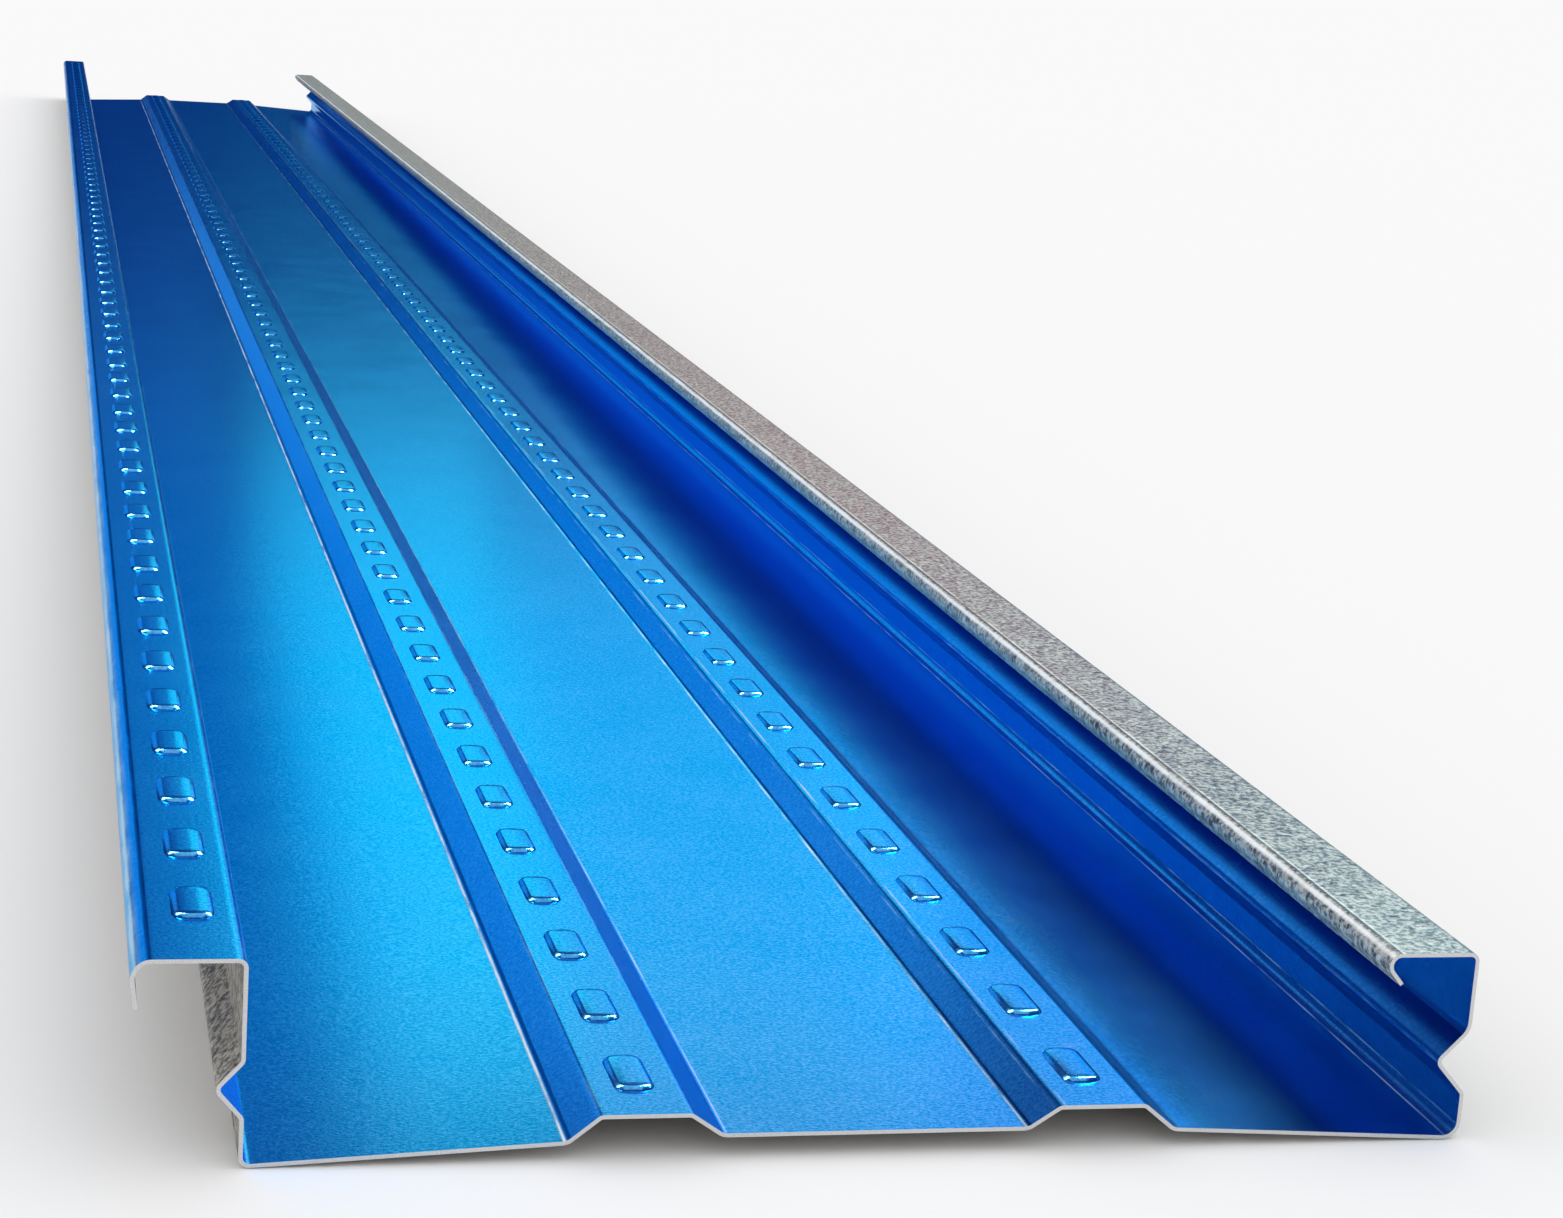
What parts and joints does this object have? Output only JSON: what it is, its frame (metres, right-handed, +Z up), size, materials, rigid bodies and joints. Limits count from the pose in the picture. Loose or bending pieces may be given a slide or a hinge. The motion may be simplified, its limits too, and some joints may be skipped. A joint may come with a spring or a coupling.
{
  "type": "steel floor decking sheet",
  "caption": "Roll-formed steel floor decking sheet with a ribbed, embossed pan, kinked webs, a lipped cap flange and a curled return flange that interlock with the next sheet.",
  "frame": {"origin": "middle of the sheet's length and overall width, on the level that its web feet rest on", "axes": "+Y along the sheet away from the end in view, +Z up out of the pan, +X from the cap flange to the return flange"},
  "size_m": [0.325, 3.6, 0.0517],
  "materials": {
    "sheet": "gloss blue lacquer over galvanised steel, bare galvanised back"
  },
  "bodies": {
    "root": {"decking_sheet": "sheet"}
  },
  "joints": []
}
